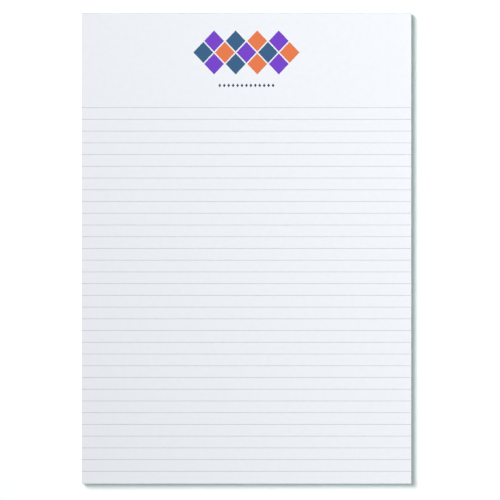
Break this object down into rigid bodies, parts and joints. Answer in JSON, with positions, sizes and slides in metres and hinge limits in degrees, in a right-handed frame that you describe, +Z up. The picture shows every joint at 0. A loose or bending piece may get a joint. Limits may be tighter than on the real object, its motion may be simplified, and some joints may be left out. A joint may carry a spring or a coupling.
{
  "type": "legal pad",
  "caption": "Ruled A4 writing pad: white sheets glued along the head onto a grey backing board, with a small lozenge ornament printed above the ruling.",
  "frame": {"origin": "middle of the pad's footprint, on the underside of the backing board", "axes": "+Z up through the sheets to the printed side, +Y along the long side towards the glued head, +X to the right of the writing"},
  "size_m": [0.2082, 0.2973, 0.0057],
  "materials": {
    "greyboard": "matte",
    "writing_paper": "matte",
    "padding_glue": "satin",
    "grey_ink": "matte",
    "navy_ink": "matte",
    "blue_ink": "matte",
    "orange_ink": "matte",
    "purple_ink": "matte"
  },
  "bodies": {
    "root": {"backing_board": "greyboard", "paper_block": "writing_paper", "head_glue": "padding_glue", "ruled_lines": "grey_ink", "header_dots": "navy_ink", "header_lozenges_blue": "blue_ink", "header_lozenges_orange": "orange_ink", "header_lozenges_purple": "purple_ink"}
  },
  "joints": []
}
